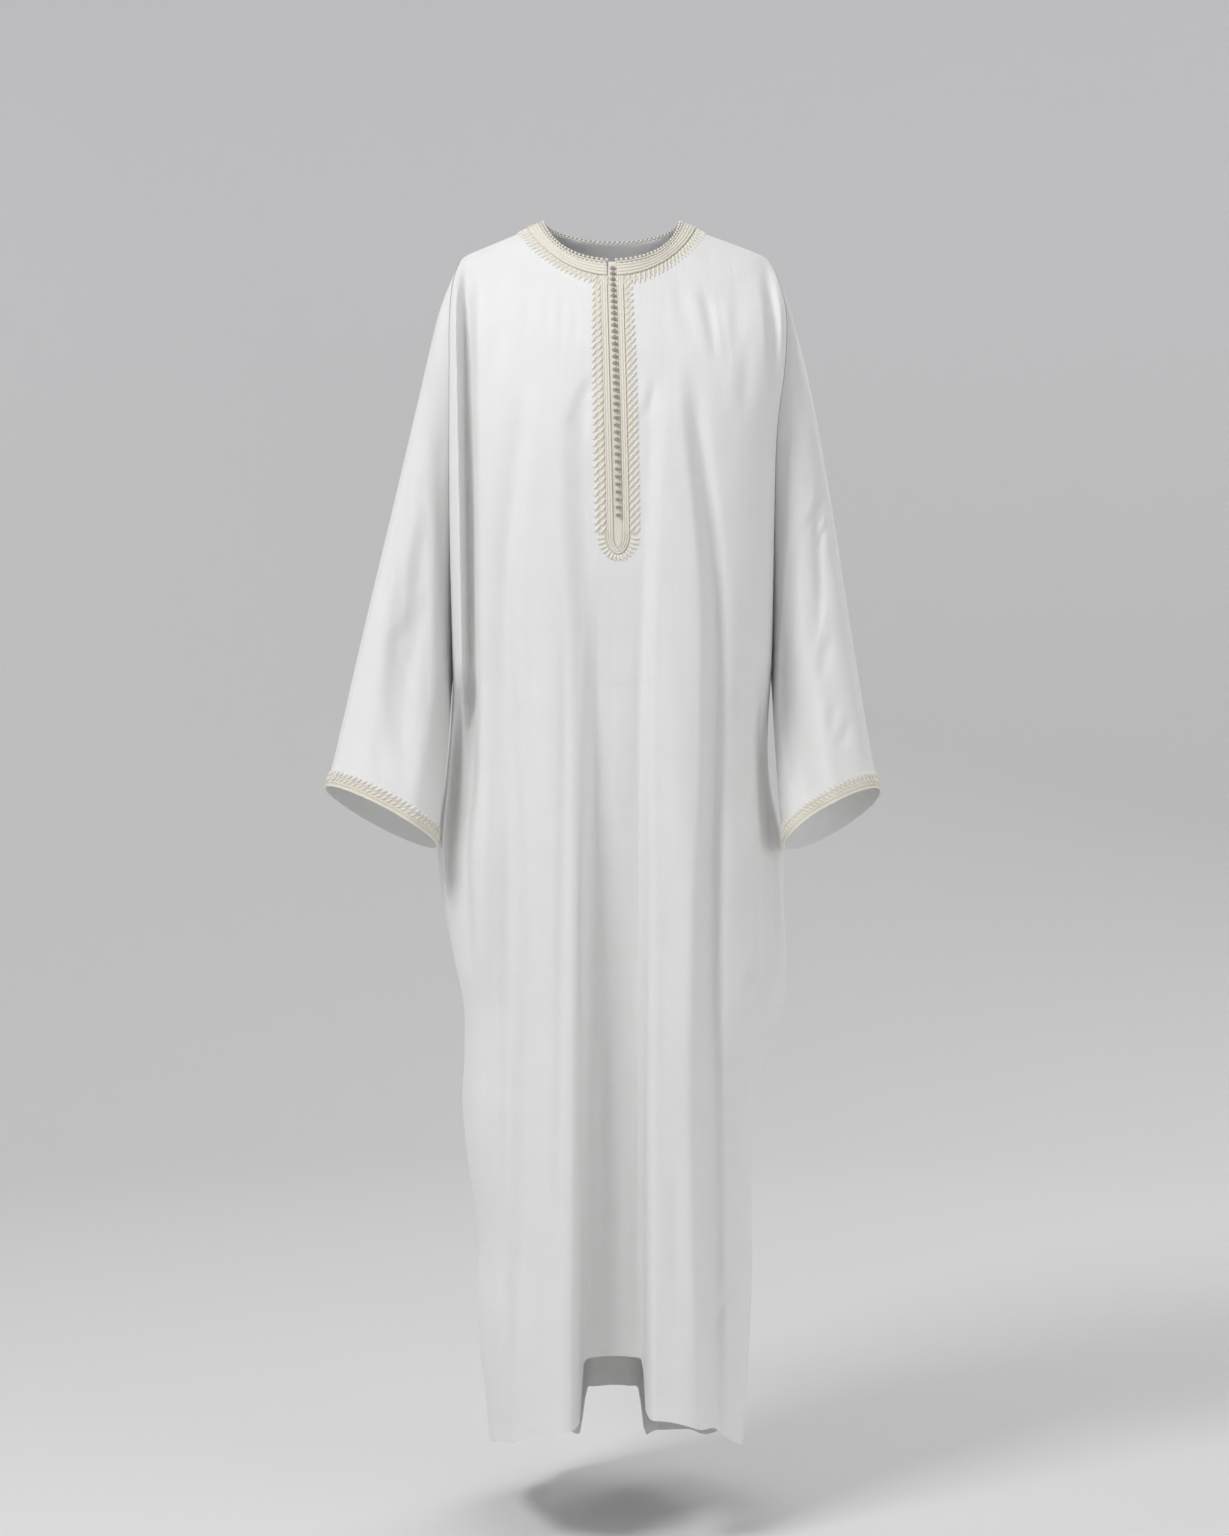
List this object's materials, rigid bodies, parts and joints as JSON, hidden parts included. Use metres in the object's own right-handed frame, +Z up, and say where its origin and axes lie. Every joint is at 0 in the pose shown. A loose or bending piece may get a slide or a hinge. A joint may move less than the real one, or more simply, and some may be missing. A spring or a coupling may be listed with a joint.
{
  "type": "abaya",
  "caption": "Long white abaya, hanging open and hollow, with wide sleeves, a braided round neck, an embroidered placket of small round buttons and embroidered cuffs.",
  "frame": {"origin": "the middle of the shoulder line, between the two shoulders that carry the cloth, at the height of the neck opening's sides", "axes": "+X towards the right as the front is faced, +Y from the front to the back, +Z up"},
  "size_m": [0.645, 0.3658, 1.4565],
  "materials": {
    "cloth": "matte white crepe with a faint sheen",
    "braid": "ivory silk braid",
    "embroidery": "cream thread on white ground",
    "button": "knotted silver-grey thread"
  },
  "bodies": {
    "root": {"front_panel": "cloth", "front_skirt": "cloth", "back_panel": "cloth", "back_skirt": "cloth", "sleeve_left": "cloth", "forearm_left": "cloth", "sleeve_right": "cloth", "forearm_right": "cloth", "neck_braid": "braid", "placket_braid_left": "braid", "placket_braid_right": "braid", "placket_braid_end": "braid", "neck_embroidery": "embroidery", "placket_embroidery_left": "embroidery", "placket_embroidery_right": "embroidery", "placket_embroidery_end": "embroidery", "placket_tab": "embroidery", "cuff_embroidery_left": "embroidery", "cuff_embroidery_right": "embroidery", "button_01": "button", "button_02": "button", "button_03": "button", "button_04": "button", "button_05": "button", "button_06": "button", "button_07": "button", "button_08": "button", "button_09": "button", "button_10": "button", "button_11": "button", "button_12": "button", "button_13": "button", "button_14": "button", "button_15": "button", "button_16": "button", "button_17": "button", "button_18": "button", "button_19": "button", "button_20": "button", "button_21": "button", "button_22": "button", "button_23": "button", "button_24": "button", "button_25": "button", "button_26": "button", "button_27": "button", "button_28": "button", "button_29": "button", "button_30": "button", "button_31": "button", "button_32": "button", "button_33": "button", "button_34": "button", "button_35": "button", "button_36": "button", "button_37": "button", "button_38": "button"}
  },
  "joints": []
}
